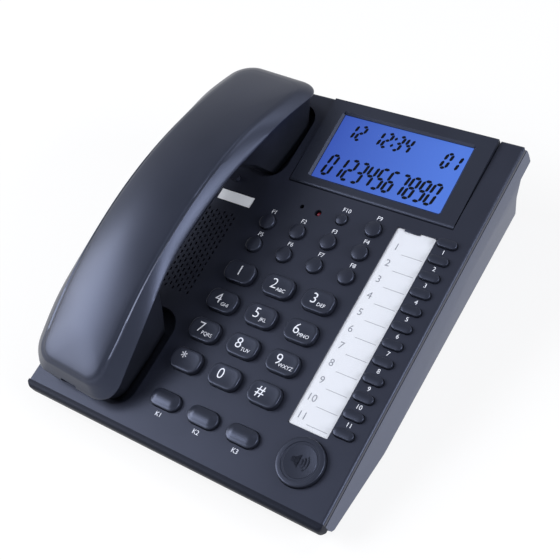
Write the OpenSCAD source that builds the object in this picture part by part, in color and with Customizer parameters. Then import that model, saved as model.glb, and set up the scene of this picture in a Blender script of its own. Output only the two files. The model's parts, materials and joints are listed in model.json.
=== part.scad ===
// Corded desk telephone: wedge base with a sloping face, a key field, a tilting display and a lift-off handset.
// The face is laid out in its own plane: x to the right, y up the slope, z square to it, origin at its middle.

/* [Base] */
// Width of the base
base_w = 192; // [188:1:204]
// Length of the sloping face from its front edge to its rear edge
base_l = 220; // [216:1:230]
// Angle of the face above the desk, in degrees
face_tilt = 13; // [11:0.5:15]
// Depth of the front wall below the face
front_h = 13.4; // [13:0.1:18]
// How far the foot of the front wall lies in from the front edge
front_undercut = 2.1; // [0.5:0.1:2.6]
// Radius of the base's upright corners
corner_r = 2; // [2:0.5:6]
// Thickness of the face plate
plate_t = 3; // [2.4:0.1:3.4]
// Radius along the face plate's outer edge
plate_edge_r = 1.4; // [0.6:0.1:2]
// Wall of the bottom cover
wall_t = 2.2; // [1.6:0.1:2.6]
// Depth of the rear lip below the face
lip_depth = 14.5; // [14:0.1:20]
// How far the rear lip overhangs the rear wall
lip_len = 11; // [8:0.5:14]
// How far the foot of the rear wall lies in from the rear edge
rear_foot_in = 5; // [2:0.5:9]
// How far the rear lip leans out at its foot
lip_lean = 2.4; // [0:0.1:4]
// Depth and height of the shadow groove under the face plate
groove = 0.8; // [0.4:0.1:1.2]
// Inward slant of the lower side walls at the rear, in degrees
rear_draft = 17; // [10:0.5:20]
// Inward slant of the lower side walls further forward, in degrees
side_draft = 13.5; // [8:0.5:16]
// How steeply the side crease falls towards the front, in degrees
crease_fall = 6; // [4:0.5:8]
// Where the side crease starts to fall, from the middle of the face
crease_knee = 35; // [20:1:50]
// Diameter of a rubber foot
foot_d = 14; // [8:0.5:18]
// How far a rubber foot stands out
foot_t = 1.5; // [1:0.1:3]

/* [Handset] */
// Distance of the handset's middle line from the left edge of the base
hs_inset = 37; // [36.6:0.1:37.3]
// Turn of the handset in its cradle, in degrees
hs_skew = 3.2; // [2.8:0.1:3.4]
// Reach of the handset to the front, from the middle of the face
hs_front = 103.5; // [102.5:0.5:104]
// Reach of the handset to the rear, from the middle of the face
hs_rear = 107; // [106:0.5:108]
// Width across the ear and mouth ends
hs_end_w = 57; // [54:0.5:57.5]
// Width across the grip
hs_grip_w = 47; // [42:0.5:50]
// Width of the flat top face
hs_top_w = 42; // [36:0.5:44]
// Height of the top face over the base's face at the middle of the grip
hs_top_h = 41; // [40:0.1:44]
// Height of the parting edge at the middle of the grip
hs_edge_h = 34; // [31:0.5:36]
// Least height of the parting edge at the ends
hs_end_h = 7; // [6.5:0.1:7.4]
// Height of the grip's underside
hs_grip_h = 19; // [15:0.5:22]
// Radius of the top face's arch, seen from the side
hs_top_r = 215; // [210:1:240]
// Radius of the parting edge's arch, seen from the side
hs_edge_r = 223; // [216:1:232]
// Where along the face the top face is highest
hs_top_v = 3; // [0:1:5]
// Where along the face the parting edge is highest
hs_mid_v = 5.5; // [4:0.5:7]
// Wall of the handset shells
hs_wall = 2.2; // [1.6:0.1:2.6]
// Diameter of the receiver capsule
receiver_d = 27; // [24:0.5:27.5]
// Diameter of the microphone
mic_d = 10; // [6:0.5:12]

/* [Cradle] */
// Depth of the ear well
ear_well_depth = 10; // [8:0.1:10.2]
// Depth of the mouth well
mouth_well_depth = 8; // [6:0.1:8.2]
// Front edge of the ear well, from the middle of the face
ear_well_front = 49.5; // [48:0.1:50]
// Rear edge of the mouth well, from the middle of the face towards the front
mouth_well_rear = 42.5; // [41:0.1:44]
// Room around the handset at the outer ends of the wells
well_room = 1.5; // [1.2:0.1:1.8]
// Corner radius of the wells
well_r = 12; // [8:0.5:14]
// Rest gap under the handset
rest_gap = 0.4; // [0.3:0.05:0.8]
// Diameter of the hook plunger
plunger_d = 6; // [4:0.5:8]
// Travel of the hook plunger
plunger_travel = 3; // [2:0.1:4]

/* [Keys] */
// Width of a dial key
dial_w = 18; // [15:0.5:20]
// Length of a dial key up the slope
dial_l = 12.2; // [10:0.2:13]
// Corner radius of a dial key
dial_r = 4.8; // [3:0.1:5.4]
// Spacing of the dial keys across
dial_pitch_u = 25; // [24:0.1:25.6]
// Spacing of the dial keys up the slope
dial_pitch_v = 18.4; // [17:0.1:18.6]
// Middle of the dial's centre column
dial_u = 12; // [11:0.5:13]
// Distance of the dial's top row from the display's front edge
dial_below = 62.1; // [61.6:0.1:63.4]
// Diameter of a round function key
round_d = 9; // [8:0.1:10.5]
// Diameter of the small round key
small_d = 6.6; // [5:0.1:8]
// Spacing of the round keys across
round_pitch_u = 19.6; // [18.5:0.1:19.8]
// Spacing of the round keys up the slope
round_pitch_v = 15; // [14.6:0.1:15.4]
// Width of an oval key
oval_w = 18.4; // [17:0.2:20]
// Length of an oval key up the slope
oval_l = 9.6; // [8:0.2:11]
// Spacing of the oval keys
oval_pitch = 24.5; // [24:0.1:26]
// Diameter of the hands-free key
hf_d = 24.8; // [22:0.2:25.4]
// Length of a memory key across
memo_w = 11; // [9:0.2:11.4]
// Width of a memory key up the slope
memo_l = 4.6; // [3.6:0.1:5.6]
// Spacing of the memory keys
memo_pitch = 10; // [9.6:0.05:10.05]
// Height of the dial keys over the face
dial_h = 3.2; // [2:0.1:4.5]
// Height of the round keys over the face
round_h = 2.6; // [1.8:0.1:3.5]
// Height of the oval keys over the face
oval_h = 3.4; // [2.4:0.1:3.8]
// Height of the memory keys over the face
memo_h = 2; // [1.7:0.1:3]
// Travel of every key
key_travel = 1.4; // [1:0.1:1.5]
// Gap round a key in its hole
key_gap = 0.35; // [0.3:0.05:0.6]
// Width and thickness of the flange that holds a key under the plate
flange = 1.1; // [0.9:0.05:1.2]

/* [Display] */
// Width of the display unit
disp_w = 101; // [98:0.5:101.4]
// Length of the display unit, from its hinge edge to the rear edge of the base
disp_l = 57.5; // [57:0.1:58]
// Thickness of the display unit
disp_t = 9; // [8.6:0.1:9.2]
// Middle of the display unit across the face
disp_u = 31.5; // [31:0.1:32]
// How far the unit's rear edge is tipped up at rest, in degrees
disp_rise = 2.4; // [1.5:0.1:4]
// Width of the window
window_w = 80; // [70:0.5:84]
// Length of the window
window_l = 42; // [36:0.5:43]
// Thickness of the bezel and its back cover
disp_wall = 2; // [1.6:0.1:2.2]
// Running gap round the display unit
disp_gap = 0.6; // [0.4:0.05:0.8]
// Radius of the unit's front edge, with the hinge pins at its middle
barrel_r = 2; // [1.8:0.1:2.4]
// Diameter of a display hinge pin
pin_d = 2.4; // [2:0.1:2.6]

/* [Index card] */
// Width of the card
card_w = 22.8; // [20:0.2:23]
// Length of the card
card_l = 116.8; // [110:0.2:117.4]
// Depth of the card's recess
card_depth = 0.9; // [0.7:0.05:1.2]
// Width of the name label
label_w = 23; // [18:0.5:24]
// Length of the name label
label_l = 6.8; // [5:0.2:8]

/* [Loudspeaker] */
// Diameter of the loudspeaker
speaker_d = 57; // [50:0.5:57]
// Length of one grille slot
slot_l = 2; // [1.6:0.1:2.2]
// Width of one grille slot
slot_w = 1.1; // [0.8:0.05:1.2]
// Spacing of the grille slots across
slot_pitch_u = 2.6; // [2.5:0.1:2.8]
// Spacing of the grille rows up the slope
slot_pitch_v = 3.8; // [3.6:0.1:4]

/* [Hidden] */
$fn = 64;
far = 600;
clear = 0.2;
half_w = base_w / 2;
half_l = base_l / 2;
bay_front = half_l - disp_l;
function desk_n(v) = -front_h - tan(face_tilt) * (v + half_l);
rear_foot_v = half_l - rear_foot_in;
// The box of the base on the desk: the face's round front edge and the foot of the rear wall reach furthest.
box_front = -(half_l - plate_edge_r) * cos(face_tilt) + plate_edge_r * sin(face_tilt) - plate_edge_r;
box_rear = rear_foot_v * cos(face_tilt) - desk_n(rear_foot_v) * sin(face_tilt);
y_shift = -(box_front + box_rear) / 2;
z_face = foot_t - desk_n(0) * cos(face_tilt);
rim_t = 1.6;
rim_depth = 4;
rim_left = -20;
rim_rear = bay_front - 7.5;
feet = [[half_w - 16, -half_l + 22], [half_w - 28, half_l - 14]];

// Handset
hs_u = -half_w + hs_inset;
ear_rest = -ear_well_depth + rest_gap;
mouth_rest = -mouth_well_depth + rest_gap;
cup_round = 3;
shell_gap = 0.15;
cup_slope = 14;
receiver_v = 77.2;
receiver_h = 8;
hs_mic_v = -78;
hs_mic_h = 5;

// Front shell: how far each ring lies in from the outline at the front, the rear and the sides
cup_floor_in = [7, 13.5, 6.5];
cup_round_in = [4.5, 10.5, 4];
cup_rim_in = [1, 1.6, 1];

// Cradle wells, each as left, right, front and rear from the handset's middle, clear of a cup at face level
well_t = 1.7;
function cup_in(i, rest, v) = let (low = rest + cup_round)
    cup_round_in[i] + (cup_rim_in[i] - cup_round_in[i]) * -low / (edge_h(v) - shell_gap - low);
ear_well = [-31, 34.2, ear_well_front, hs_rear - cup_in(1, ear_rest, hs_rear) + well_room];
mouth_well = [-32.7, 28.2, -hs_front + cup_in(0, mouth_rest, -hs_front) - well_room, -mouth_well_rear];
plunger_v = 68;
plunger_shaft = 6;
plunger_flange = 1.5;

// Keys: each entry is name, across, up the slope
flange_top = -plate_t - clear;
key_bottom = flange_top - flange;
dial_v = bay_front - dial_below;
dial_names = [["1", "2", "3"], ["4", "5", "6"], ["7", "8", "9"], ["star", "0", "hash"]];
dial_keys = [for (row = [0:3], col = [0:2])
    [str("dial_key_", dial_names[row][col]), dial_u + (col - 1) * dial_pitch_u, dial_v - row * dial_pitch_v]];
round_u = 13.6;
round_v = bay_front - 28.9;
round_keys = [for (row = [0:1], col = [0:3])
    [str("round_key_", row * 4 + col + 1), round_u + (col - 1.5) * round_pitch_u,
     round_v - row * round_pitch_v]];
upper_round_key = ["round_key_9", round_u + 1.5 * round_pitch_u, round_v + round_pitch_v];
small_round_key = ["round_key_10", round_u + 0.5 * round_pitch_u, round_v + round_pitch_v];
oval_u = dial_u + 0.8;
oval_v = -half_l + 22.2;
oval_keys = [for (i = [0:2]) [str("oval_key_", i + 1), oval_u + (i - 1) * oval_pitch, oval_v]];
hf_in = 24.4;
hf_u = half_w - hf_in;
hf_v = -half_l + 22.6;
hf_key = ["hands_free_key", hf_u, hf_v];
memo_in = 12.2;
memo_u = half_w - memo_in;
memo_v = bay_front - 9.3;
memo_keys = [for (i = [0:11]) [str("memory_key_", i + 1), memo_u, memo_v - i * memo_pitch]];
crown_r = 40;
scoop_r = 34;
scoop_depth = 0.5;

// Board and mat under the keys
dome_top = key_bottom - key_travel - clear;
mat_t = 1.2;
dome_h = 1.5;
board_top = dome_top - dome_h - mat_t;
board_t = 1.6;
board_box = [-25.5, half_w - 5.5, -half_l + 7, bay_front - 6.5];
post_u = [-22.7, half_w - 30];
posts = [[post_u[0], bay_front - 19.5], [post_u[0], -half_l + 34],
    [post_u[1], bay_front - 22.5], [post_u[1], -half_l + 55]];
post_d = 4.4;
dome_d = 6;
memo_dome_d = 3.6;

// Lamp and microphone hole in the top row
lamp_at = [8.5, round_v + round_pitch_v - 0.4];
lamp_d = 3;
lamp_top = -1;
mic_hole_at = [-2.4, round_v + round_pitch_v + 0.4];
mic_hole_d = 2.6;

// Display unit: the hinge axis is the middle of its rounded front edge
hinge_v = bay_front + barrel_r;
hinge_n = -barrel_r;
tray_t = 1.8;
tray_floor = -disp_t - disp_gap;
pin_clear = 0.15;
window_front = 4.6;
unit_chamfer = 1;
window_u = -0.4;
window_bevel = 1.2;
lens_t = 1;
lens_lap = 1.5;
lcd_t = 3;
lcd_lap = 3;

// Index card, label
card_in = 30.2;
card_u = half_w - card_in;
card_v = memo_v + 1.5 - card_l / 2;
card_t = 0.25;
cover_t = 0.5;
card_room = 0.15;
notch_r = 5.5;
notch_out = 2.6;
label_at = [hs_u + 16, 31.7];
label_depth = 0.6;
label_t = 0.4;

// Loudspeaker and grille
speaker_at = [hs_u - 1, -5.5];
speaker_flange = 2;
magnet_d = 28;
speaker_depth = 18;
slot_rows = 14;
slot_cols = 19;
hook_rib_at = [hs_u + 7.5, 43];
hook_rib = [8, 3.6, 2.4];
hook_rib_r = 1.4;

// Modular jacks: width, depth and height of the body, and the port's width, depth and height
jack = [13, 15, 12];
port = [9.8, 11, 6.8];
line_jack_u = -20;
line_jack_n = -30;
side_jack_v = -32;
side_jack_n = -13;
side_jack_in = 0.6;
line_jack_in = 1.6;
hs_jack = [11, 14, 7.4];
hs_port = [8, 10, 6.2];
hs_jack_n = -0.4;
hs_jack_in = 2.6;
jack_notch = 1.4;

// Places children from the plane of the face on the desk
module face() {
    translate([0, y_shift, z_face]) rotate([face_tilt, 0, 0]) children();
}

// Rectangle with round corners, a pill or a disc, as the radius allows
module rounded(w, l, r) {
    q = min(r, w / 2, l / 2);
    xs = w > 2 * q ? [-1, 1] : [0];
    ys = l > 2 * q ? [-1, 1] : [0];
    if (w > 2 * q) square([w - 2 * q, l], center = true);
    if (l > 2 * q) square([w, l - 2 * q], center = true);
    for (x = xs, y = ys) translate([x * (w / 2 - q), y * (l / 2 - q)]) circle(q);
}

// Rounded rectangle between two corners
module rounded_between(x0, x1, y0, y1, r) {
    translate([(x0 + x1) / 2, (y0 + y1) / 2]) rounded(x1 - x0, y1 - y0, r);
}

// Side profile pushed out to both sides: profile x runs up the slope, profile y square to the face
module across(w) {
    rotate([90, 0, 90]) linear_extrude(w, center = true) children();
}

// Outer form of the bottom cover, shrunk by a wall thickness for its inside
module lower_form(inset) {
    lift = inset / cos(face_tilt);
    lip_v = half_l - lip_len - inset;
    chamfer = 1.5;
    foot_v = -half_l + front_undercut + inset;
    difference() {
        intersection() {
            across(base_w - 2 * inset) polygon([
                [-half_l + inset, -plate_t], [foot_v, desk_n(foot_v) + lift + chamfer],
                [foot_v + chamfer, desk_n(foot_v + chamfer) + lift],
                [rear_foot_v - inset, desk_n(rear_foot_v - inset) + lift],
                [lip_v, -lip_depth + inset], [half_l + lip_lean - inset, -lip_depth + inset],
                [half_l - inset, -plate_t]]);
            translate([0, 0, -far]) linear_extrude(far)
                rounded_between(-half_w + inset, half_w - inset, -half_l + inset,
                    half_l + lip_lean - inset, corner_r);
        }
        for (side = [0, 1]) mirror([side, 0, 0]) intersection() {
            slant(0, rear_draft, inset);
            slant(crease_fall, side_draft, inset);
        }
    }
}

// Space outside a slanting lower side wall, below its crease
module slant(fall, draft, inset) {
    translate([half_w - inset / cos(draft), crease_knee, -lip_depth]) rotate([fall, 0, 0]) rotate([0, draft, 0])
        translate([0, -far, -far]) cube([far, 2 * far, far]);
}

// Bottom cover: a wedge tub with a shadow groove at its rim, a bay for the display and two jack openings
module bottom_cover() {
    color("#23252d") face() difference() {
        lower_form(0);
        lower_form(wall_t);
        translate([0, 0, -plate_t - groove]) linear_extrude(far) difference() {
            square([2 * base_w, 2 * base_l], center = true);
            rounded(base_w - 2 * groove, base_l - 2 * groove, corner_r - groove);
        }
        bay_side = disp_w / 2 + disp_gap + tray_t + clear;
        translate([disp_u - bay_side, half_l - lip_len, tray_floor - tray_t - clear]) cube([2 * bay_side, far, far]);
        translate([-half_w, side_jack_v, side_jack_n]) rotate([0, 0, -90]) jack_space();
        translate([line_jack_u, rear_wall_v(line_jack_n), line_jack_n]) rotate([0, 0, 180]) jack_space();
    }
}

// Outer face of the rear wall at a depth below the face
function rear_wall_v(n) = half_l - lip_len
    + (lip_len - rear_foot_in) * (n + lip_depth) / (desk_n(rear_foot_v) + lip_depth);

// Opening for a jack, with its mouth at the origin facing -y
module jack_space() {
    translate([-jack[0] / 2 - clear, -jack[1], -jack[2] / 2 - clear])
        cube([jack[0] + 2 * clear, 2 * jack[1], jack[2] + 2 * clear]);
}

// Jack with its mouth at the origin facing -y: body, port and the latch groove under it
module jack_body() {
    difference() {
        translate([-jack[0] / 2, 0, -jack[2] / 2]) cube(jack);
        translate([-port[0] / 2, -1, -port[2] / 2]) cube([port[0], port[1] + 1, port[2]]);
        translate([-port[0] / 6, -1, -port[2] / 2 - 1.6]) cube([port[0] / 3, port[1] + 1, 2]);
    }
}

// Jacks for the handset's cord in the left wall and for the line in the rear wall
module modular_jacks() {
    color("#15161a") face() {
        translate([-half_w + side_jack_in, side_jack_v, side_jack_n]) rotate([0, 0, -90]) jack_body();
        translate([line_jack_u, rear_wall_v(line_jack_n) - line_jack_in, line_jack_n]) rotate([0, 0, 180])
            jack_body();
    }
}

// Four feet under the bottom cover
module rubber_feet() {
    color("#101012") for (at = feet, side = [-1, 1])
        translate([side * at[0], at[1], 0]) cylinder(d = foot_d, h = foot_t);
}

// Face plate with its rounded outer edge
module plate() {
    intersection() {
        translate([0, 0, -plate_t]) linear_extrude(plate_t) rounded(base_w, base_l, corner_r);
        across(base_w) edge_profile(base_l);
        rotate([0, 0, 90]) across(base_l) edge_profile(base_w);
    }
}

// Section of the plate with two round upper edges
module edge_profile(l) {
    translate([-l / 2, -plate_t]) square([l, plate_t - plate_edge_r]);
    translate([-l / 2 + plate_edge_r, -plate_t]) square([l - 2 * plate_edge_r, plate_t]);
    for (side = [-1, 1]) translate([side * (l / 2 - plate_edge_r), -plate_edge_r]) circle(plate_edge_r);
}

// Plan of a cradle well, grown by its wall
module well_plan(well, grow) {
    translate([hs_u, 0]) rounded_between(well[0] - grow, well[1] + grow, well[2] - grow, well[3] + grow,
        well_r + grow);
}

// Plan of the display bay, open to the rear
module bay_plan(grow) {
    translate([disp_u - disp_w / 2 - disp_gap - grow, bay_front - disp_gap - grow])
        square([disp_w + 2 * (disp_gap + grow), disp_l + disp_gap + grow]);
}

// Holes for every key
module key_holes() {
    for (k = dial_keys) translate([k[1], k[2]]) key_hole(dial_w, dial_l, dial_r);
    for (k = concat(round_keys, [upper_round_key]))
        translate([k[1], k[2]]) key_hole(round_d, round_d, round_d / 2);
    translate([small_round_key[1], small_round_key[2]]) key_hole(small_d, small_d, small_d / 2);
    for (k = oval_keys) translate([k[1], k[2]]) key_hole(oval_w, oval_l, oval_l / 2);
    translate([hf_u, hf_v]) key_hole(hf_d, hf_d, hf_d / 2);
    for (k = memo_keys) translate([k[1], k[2]]) key_hole(memo_w, memo_l, memo_l / 2);
}

module key_hole(w, l, r) {
    rounded(w + 2 * key_gap, l + 2 * key_gap, r + key_gap);
}

// Staggered slots of the loudspeaker grille, leaning rows over the loudspeaker
module grille() {
    for (row = [0:slot_rows - 1], col = [0:slot_cols - 1])
        translate([speaker_at[0] + (col - (slot_cols - 1) / 2) * slot_pitch_u,
            speaker_at[1] + (row - (slot_rows - 1) / 2 + (col % 2) / 2) * slot_pitch_v])
            square([slot_w, slot_l], center = true);
}

// Plan of the locating rim, set in from the edges and behind the front wall's undercut
module rim_plan(in) {
    translate([-half_w + in, -half_l + in + front_undercut])
        square([base_w - 2 * in, base_l - 2 * in - front_undercut]);
}

// Top cover: the face with its wells, display bay, key holes, grille, recesses, posts and locating rim
module top_cover() {
    rim_in = wall_t + clear;
    color("#2b2e38") face() difference() {
        union() {
            plate();
            translate([0, 0, -ear_well_depth - well_t]) linear_extrude(ear_well_depth)
                well_plan(ear_well, well_t);
            translate([0, 0, -mouth_well_depth - well_t]) linear_extrude(mouth_well_depth)
                well_plan(mouth_well, well_t);
            translate([0, 0, tray_floor - tray_t]) linear_extrude(-tray_floor) bay_plan(tray_t);
            for (p = posts) translate([p[0], p[1], board_top])
                cylinder(d = post_d, h = -board_top - plate_t / 2);
            translate([0, 0, -plate_t - rim_depth]) linear_extrude(rim_depth) intersection() {
                difference() {
                    rim_plan(rim_in);
                    rim_plan(rim_in + rim_t);
                }
                translate([rim_left, -half_l]) square([base_w, half_l + rim_rear]);
            }
            translate(hook_rib_at) linear_extrude(hook_rib[2]) rounded(hook_rib[0], hook_rib[1], hook_rib_r);
        }
        translate([0, 0, -ear_well_depth]) linear_extrude(far) well_plan(ear_well, 0);
        translate([0, 0, -mouth_well_depth]) linear_extrude(far) well_plan(mouth_well, 0);
        translate([0, 0, tray_floor]) linear_extrude(far) bay_plan(0);
        translate([disp_u, hinge_v, hinge_n]) rotate([0, 90, 0])
            cylinder(d = pin_d + 2 * pin_clear, h = disp_w + 2 * (disp_gap + tray_t) + 2, center = true);
        translate([0, 0, -plate_t - 1]) linear_extrude(far) {
            key_holes();
            grille();
            translate(lamp_at) circle(d = lamp_d + 1);
            translate(mic_hole_at) circle(d = mic_hole_d);
        }
        translate([card_u, card_v, -card_depth]) linear_extrude(far) square([card_w, card_l], center = true);
        translate([label_at[0], label_at[1], -label_depth]) linear_extrude(far)
            square([label_w, label_l], center = true);
        translate([hs_u, plunger_v, -far]) cylinder(d = plunger_d + 0.6, h = far);
    }
}

// Plan of the card and its cover, with the thumb notch in the top edge
module card_plan() {
    difference() {
        square([card_w - 2 * card_room, card_l - 2 * card_room], center = true);
        translate([0, card_l / 2 + notch_out]) circle(notch_r);
    }
}

// Index card under the clear cover
module memo_card() {
    color("white") face() translate([card_u, card_v, -card_depth]) linear_extrude(card_t) card_plan();
}

// Clear cover of the index card
module memo_card_cover() {
    color("#ffffff55") face() translate([card_u, card_v, -card_depth + card_t])
        linear_extrude(cover_t) card_plan();
}

// Blank paper label
module name_label() {
    color("white") face() translate([label_at[0], label_at[1], -label_depth]) linear_extrude(label_t)
        square([label_w - 2 * card_room, label_l - 2 * card_room], center = true);
}

// Round-topped lamp on the board
module in_use_lamp() {
    color("darkred") face() translate([lamp_at[0], lamp_at[1], board_top]) {
        cylinder(d = lamp_d, h = lamp_top - board_top - lamp_d / 2);
        translate([0, 0, lamp_top - board_top - lamp_d / 2]) sphere(d = lamp_d);
    }
}

// Plan of the board and the mat
module board_plan() {
    translate([board_box[0], board_box[2]])
        square([board_box[1] - board_box[0], board_box[3] - board_box[2]]);
}

// Circuit board, held against the posts
module main_board() {
    color("darkgreen") face() translate([0, 0, board_top - board_t]) linear_extrude(board_t)
        board_plan();
}

// Rubber mat on the board with a dome under every key
module keypad_mat() {
    color("dimgray") face() {
        translate([0, 0, board_top]) linear_extrude(mat_t) difference() {
            board_plan();
            for (p = posts) translate(p) circle(d = post_d + 1);
            translate(lamp_at) circle(d = lamp_d + 1);
        }
        for (k = concat(dial_keys, round_keys, [upper_round_key, small_round_key, hf_key], oval_keys))
            translate([k[1], k[2], board_top + mat_t / 2]) cylinder(d = dome_d, h = dome_h + mat_t / 2);
        for (k = memo_keys)
            translate([k[1], k[2], board_top + mat_t / 2]) cylinder(d = memo_dome_d, h = dome_h + mat_t / 2);
    }
}

// Loudspeaker under the grille: flange, basket and magnet turned as one profile
module loudspeaker() {
    color("#333333") face() translate([speaker_at[0], speaker_at[1], -plate_t]) rotate_extrude()
        polygon([[0, -speaker_depth], [magnet_d / 2, -speaker_depth], [magnet_d / 2, -speaker_depth / 2],
            [speaker_d / 2 - 3, -speaker_flange], [speaker_d / 2, -speaker_flange], [speaker_d / 2, 0],
            [speaker_d / 2 - 3, 0], [magnet_d / 4, -speaker_depth / 3], [0, -speaker_depth / 3]]);
}

// Plunger in the ear well, held down by the handset
module hook_plunger() {
    top = -ear_well_depth + 0.1;
    color("#22242b") face() translate([hs_u, plunger_v, 0]) {
        translate([0, 0, top - plunger_shaft - plunger_travel])
            cylinder(d = plunger_d, h = plunger_shaft + plunger_travel);
        translate([0, 0, -ear_well_depth - well_t - plunger_travel - clear - plunger_flange])
            cylinder(d = plunger_d + 3, h = plunger_flange);
    }
}

// Switch fixed under the ear well, with its lever below the plunger
module hook_switch() {
    top = -ear_well_depth - well_t;
    lever_top = -ear_well_depth + 0.1 - plunger_shaft - plunger_travel - 0.3;
    body_h = top - lever_top + 2;
    color("#3a3a3a") face() translate([hs_u, plunger_v, 0]) {
        translate([plunger_d / 2 + 3, -5, top - body_h]) cube([8, 10, body_h]);
        translate([-plunger_d / 2, -3, lever_top - 0.6]) cube([plunger_d + 4, 6, 0.6]);
    }
}

// Key: a cap through the plate and a flange under it
module key_blank(w, l, r, h) {
    translate([0, 0, flange_top]) linear_extrude(h - flange_top) rounded(w, l, r);
    translate([0, 0, key_bottom]) linear_extrude(flange) rounded(w + 2 * flange, l + 2 * flange, r + flange);
}

// Dial key with a top scooped for the finger
module dial_key(k) {
    color("#2e313c") face() translate([k[1], k[2], 0]) difference() {
        key_blank(dial_w, dial_l, dial_r, dial_h);
        translate([0, 0, dial_h + scoop_r - scoop_depth]) rotate([90, 0, 0])
            cylinder(r = scoop_r, h = 2 * dial_l, center = true, $fn = 128);
    }
}

// Key with a crowned top
module crowned_key(k, w, l, r, h) {
    color("#2e313c") face() translate([k[1], k[2], 0]) intersection() {
        key_blank(w, l, r, h);
        translate([0, 0, h - crown_r]) sphere(crown_r, $fn = 128);
    }
}

// Hands-free key: a disc with a raised ring round a shallow dish
module hands_free_key() {
    step = 0.5;
    color("#2e313c") face() translate([hf_u, hf_v, 0]) difference() {
        key_blank(hf_d, hf_d, hf_d / 2, round_h);
        translate([0, 0, round_h - step]) difference() {
            cylinder(d = hf_d - 5, h = 2 * step);
            translate([0, 0, -step]) cylinder(d = hf_d - 8, h = 4 * step);
        }
        translate([0, 0, round_h + 3 * crown_r - step]) sphere(3 * crown_r, $fn = 128);
    }
}

// Places children in the display unit's own frame: the hinge axis is x, the unit lies along +y
module display_frame() {
    face() translate([disp_u, hinge_v, hinge_n]) rotate([disp_rise, 0, 0]) children();
}

unit_l = disp_l - barrel_r - 1;
unit_floor = barrel_r - disp_t;
split_n = barrel_r - disp_t / 2;
lcd_top = barrel_r - disp_wall - lens_t;
window_y = window_front + window_l / 2;

// Side profile of the display unit: a round upper front edge and a slab, chamfered to swing over the tray
module unit_profile() {
    circle(barrel_r);
    polygon([[-barrel_r, 0], [-barrel_r, unit_floor + unit_chamfer], [-barrel_r + unit_chamfer, unit_floor],
        [unit_l, unit_floor], [unit_l, barrel_r], [0, barrel_r], [0, 0]]);
}

// Bezel: the upper half of the unit with the window and its bevelled edge
module display_bezel() {
    inside_w = window_w + 2 * lcd_lap + 2 * clear;
    inside_l = window_l + 2 * lens_lap + 2 * clear;
    bevel_side = window_bevel * sqrt(2);
    color("#282b35") display_frame() difference() {
        union() {
            intersection() {
                across(disp_w) unit_profile();
                translate([-far, -far, split_n]) cube(2 * far);
            }
            for (side = [-1, 1]) translate([side * disp_w / 2, 0, 0]) rotate([0, side * 90, 0])
                cylinder(d = pin_d, h = disp_gap + tray_t * 0.8);
        }
        translate([window_u, window_y, -far]) linear_extrude(2 * far)
            square([window_w, window_l], center = true);
        translate([window_u - inside_w / 2, window_y - inside_l / 2, split_n - 1])
            cube([inside_w, inside_l, barrel_r - disp_wall - split_n + 1]);
        for (side = [-1, 1]) translate([window_u, window_y, barrel_r]) {
            translate([side * window_w / 2, 0, 0]) rotate([0, 45, 0])
                cube([bevel_side, window_l + clear, bevel_side], center = true);
            translate([0, side * window_l / 2, 0]) rotate([45, 0, 0])
                cube([window_w + clear, bevel_side, bevel_side], center = true);
        }
    }
}

// Clear window against the inside of the bezel
module display_window() {
    color("#a8c4ff66") display_frame()
        translate([window_u - window_w / 2 - lens_lap, window_y - window_l / 2 - lens_lap, lcd_top])
            cube([window_w + 2 * lens_lap, window_l + 2 * lens_lap, lens_t]);
}

// Lit liquid-crystal panel behind the window
module lcd_panel() {
    color("#4a74e0") display_frame()
        translate([window_u - window_w / 2 - lcd_lap, window_y - window_l / 2 - lens_lap, lcd_top - lcd_t])
            cube([window_w + 2 * lcd_lap, window_l + 2 * lens_lap, lcd_t]);
}

// Back cover of the display unit, hollowed for the panel
module display_back_cover() {
    inside_w = window_w + 2 * lcd_lap + 2 * clear;
    inside_l = window_l + 2 * lens_lap + 2 * clear;
    color("#23252d") display_frame() difference() {
        intersection() {
            across(disp_w) unit_profile();
            translate([-far, -far, split_n - 2 * far]) cube(2 * far);
        }
        translate([window_u - inside_w / 2, window_y - inside_l / 2, lcd_top - lcd_t])
            cube([inside_w, inside_l, far]);
    }
}

// Handset outlines: heights and half widths along the handset
function ease(t) = let (c = min(1, max(0, t))) c * c * (3 - 2 * c);
function edge_h(v) = max(hs_end_h, hs_edge_h - pow(v - hs_mid_v, 2) / (2 * hs_edge_r));
function top_h(v) = hs_top_h - pow(v - hs_top_v, 2) / (2 * hs_top_r);
function mid_h(v) = (edge_h(v) + top_h(v)) / 2;
function cup_h(v) = v > 0
    ? hs_grip_h + (ear_rest - hs_grip_h) * ease((v - ear_well_front + 5) / cup_slope)
    : hs_grip_h + (mouth_rest - hs_grip_h) * ease((-v - mouth_well_rear + 5) / cup_slope);
function edge_w(v) = hs_grip_w / 2 + (hs_end_w - hs_grip_w) / 2 * ease((abs(v - hs_mid_v) - 20) / 60);
function top_w(v) = hs_top_w / 2;

// Right half of a closed outline from the front end to the rear end, with round corners
side_steps = 24;
corner_steps = 6;
function half_outline(v0, v1, wide, shrink, r0, r1) = concat(
    [for (i = [0:corner_steps]) let (a = 90 * i / corner_steps - 90)
        [wide(v0 + r0) - shrink - r0 + r0 * cos(a), v0 + r0 + r0 * sin(a)]],
    [for (i = [1:side_steps - 1]) let (v = v0 + r0 + (v1 - r1 - v0 - r0) * i / side_steps)
        [wide(v) - shrink, v]],
    [for (i = [0:corner_steps]) let (a = 90 * i / corner_steps)
        [wide(v1 - r1) - shrink - r1 + r1 * cos(a), v1 - r1 + r1 * sin(a)]]);

// Closed ring of points: the right half outwards, the left half back
function ring(v0, v1, wide, shrink, r0, r1, height, raise) =
    let (half = half_outline(v0, v1, wide, shrink, r0, r1), last = len(half) - 1)
    concat([for (p = half) [p[0], p[1], height(p[1]) + raise]],
        [for (i = [last:-1:0]) [-half[i][0], half[i][1], height(half[i][1]) + raise]]);

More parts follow.
